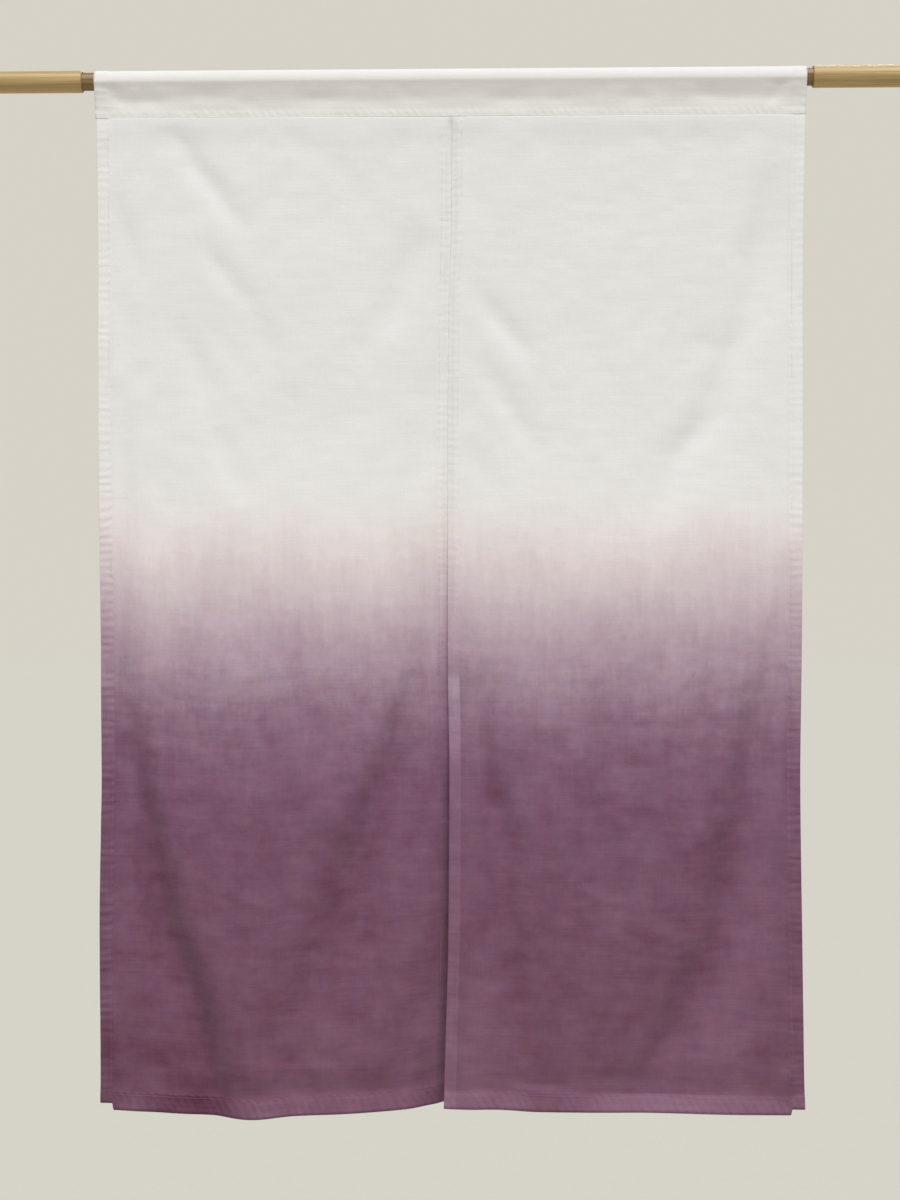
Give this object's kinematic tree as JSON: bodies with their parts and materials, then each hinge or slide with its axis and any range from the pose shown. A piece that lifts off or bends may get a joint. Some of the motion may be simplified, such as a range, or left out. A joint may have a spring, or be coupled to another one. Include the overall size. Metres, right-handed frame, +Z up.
{
  "type": "noren curtain on a rod",
  "caption": "Doorway curtain of dip-dyed cloth panels under one sewn heading, open along a centre slit and hung on a plain wooden rod.",
  "frame": {"origin": "on the rod's axis, halfway between the rod's two ends", "axes": "+X along the rod to the right as seen from the front, -Y towards the viewer, +Z up"},
  "size_m": [1.2, 0.0305, 1.3014],
  "materials": {
    "cloth": "matt plain weave, white at the top and plum at the bottom",
    "dark_wood": "stained, satin",
    "pale_wood": "clear, satin"
  },
  "bodies": {
    "root": {"heading": "cloth", "panel_left": "cloth", "panel_right": "cloth", "rod_core": "dark_wood", "rod_end_left": "pale_wood", "rod_end_right": "pale_wood"}
  },
  "joints": []
}
